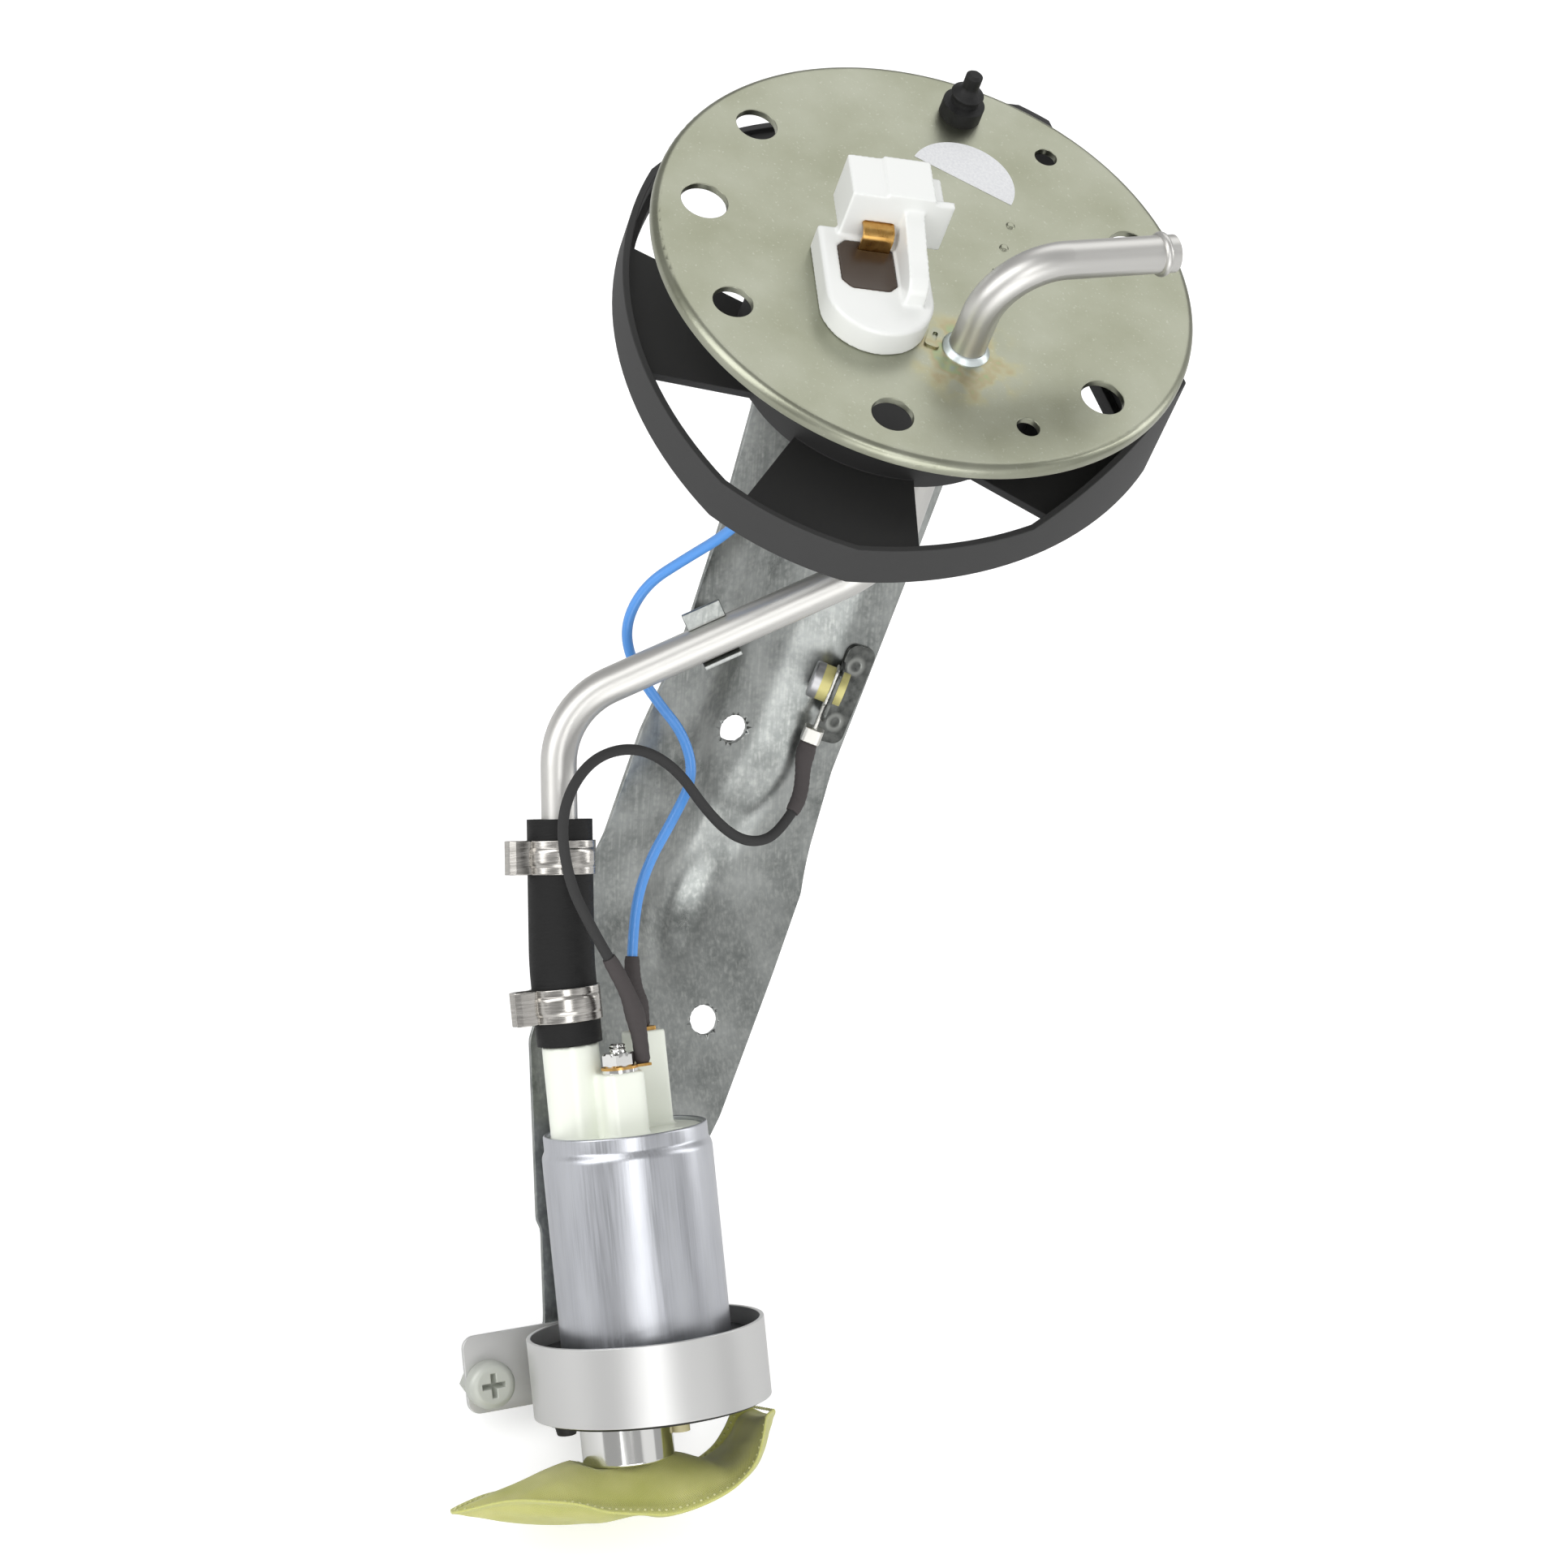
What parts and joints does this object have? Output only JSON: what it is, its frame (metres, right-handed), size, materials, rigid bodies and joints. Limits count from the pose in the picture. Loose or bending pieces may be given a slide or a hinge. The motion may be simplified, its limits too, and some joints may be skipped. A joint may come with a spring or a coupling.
{
  "type": "fuel pump module",
  "caption": "In-tank fuel pump module: round flange plate with connector and outlet pipe, folded bracket, baffle ring, strapped electric pump, hose and strainer sock.",
  "frame": {"origin": "centre of the flange plate's underside, which seats on the tank", "axes": "+Z out of the tank along the plate's normal; +X the way the pump leans; +Y the way the outlet pipe points"},
  "size_m": [0.2466, 0.1725, 0.2575],
  "materials": {
    "chromated_steel": "pressed steel, zinc plated and yellow-olive chromated",
    "label_paper": "blank white paper label",
    "black_rubber": "moulded black rubber",
    "white_nylon": "natural white nylon moulding",
    "brass": "bare brass",
    "potting_resin": "brown-black potting resin",
    "steel_tube": "satin steel tube",
    "braze_metal": "frosty braze fillet",
    "black_moulding": "black moulded nylon",
    "galvanised_steel": "galvanised sheet steel",
    "tinned_brass": "tinned brass",
    "yellow_zinc": "yellow chromated zinc",
    "pump_aluminium": "drawn aluminium",
    "cream_nylon": "cream-green nylon moulding",
    "spring_steel": "ground or drawn steel",
    "brush_carbon": "pressed carbon",
    "copper": "copper",
    "core_steel": "stacked core steel",
    "magnet_ferrite": "sintered ferrite",
    "bright_steel": "bright plated steel",
    "amber_nylon": "translucent amber nylon",
    "satin_zinc": "satin zinc plated strip",
    "grey_zinc": "grey-green zinc",
    "sock_mesh": "yellow-green woven nylon mesh",
    "hose_rubber": "extruded matt black fuel hose",
    "stainless_steel": "bright stainless strip",
    "shrink_tube": "brown-black heat-shrink tube",
    "black_insulation": "black wire insulation",
    "blue_insulation": "blue wire insulation"
  },
  "bodies": {
    "module": {"flange_plate": "chromated_steel", "blank_label": "label_paper", "vent_stub": "chromated_steel", "vent_cap": "black_rubber", "connector_body": "white_nylon", "terminal_blade": "brass", "connector_potting": "potting_resin", "earth_tab": "chromated_steel", "fuel_pipe": "steel_tube", "braze_collar": "braze_metal", "baffle_ring": "black_moulding", "bracket": "galvanised_steel", "pipe_clip": "galvanised_steel", "earth_plate": "galvanised_steel", "earth_terminal": "tinned_brass", "earth_nut": "yellow_zinc", "earth_washer": "yellow_zinc", "earth_screw": "yellow_zinc", "pump_case": "pump_aluminium", "pump_end_cap": "cream_nylon", "upper_bush": "brass", "lower_bush": "brass", "magnets": "magnet_ferrite", "flux_ring": "core_steel", "pump_housing": "pump_aluminium", "inlet_cover": "pump_aluminium", "isolator": "black_rubber", "inlet_collar": "bright_steel", "locating_peg": "amber_nylon", "strap": "satin_zinc", "strap_screw": "grey_zinc", "weld_nut": "grey_zinc", "filter_sock": "sock_mesh", "hose": "hose_rubber", "lower_hose_clamp": "stainless_steel", "upper_hose_clamp": "stainless_steel", "terminal_stud": "bright_steel", "terminal_washer": "bright_steel", "brass_eyelet": "brass", "terminal_nut": "bright_steel", "rear_terminal": "brass", "earth_sleeve": "shrink_tube", "front_sleeve": "shrink_tube", "rear_sleeve": "shrink_tube", "black_wire": "black_insulation", "blue_wire": "blue_insulation"},
    "rotor": {"shaft": "spring_steel", "commutator": "copper", "armature_core": "core_steel", "armature_winding": "copper", "impeller": "black_moulding"},
    "check_valve_poppet": {"check_valve": "black_moulding", "check_valve_spring": "spring_steel"},
    "relief_valve_poppet": {"relief_valve": "spring_steel", "relief_valve_spring": "spring_steel"},
    "front_brush_set": {"front_brush": "brush_carbon", "front_brush_spring": "spring_steel"},
    "rear_brush_set": {"rear_brush": "brush_carbon", "rear_brush_spring": "spring_steel"}
  },
  "joints": [
    {"name": "rotor_spin", "type": "hinge", "parent": "module", "child": "rotor", "pos_m": [0.103, -0.063, -0.1614], "axis": [-0.788, 0, 0.6157], "continuous": true},
    {"name": "check_valve_lift", "type": "slide", "parent": "module", "child": "check_valve_poppet", "axis": [-0.788, 0, 0.6157], "range_m": [0, 0.002], "stiffness_N_per_m": 60, "springref_m": -0.002},
    {"name": "relief_valve_lift", "type": "slide", "parent": "module", "child": "relief_valve_poppet", "axis": [-0.788, 0, 0.6157], "range_m": [0, 0.0008], "stiffness_N_per_m": 60, "springref_m": -0.002},
    {"name": "front_brush_slide", "type": "slide", "parent": "module", "child": "front_brush_set", "axis": [-0.788, 0, 0.6157], "range_m": [0, 0.0015], "stiffness_N_per_m": 200, "springref_m": -0.003},
    {"name": "rear_brush_slide", "type": "slide", "parent": "module", "child": "rear_brush_set", "axis": [-0.788, 0, 0.6157], "range_m": [0, 0.0015], "stiffness_N_per_m": 200, "springref_m": -0.003}
  ]
}
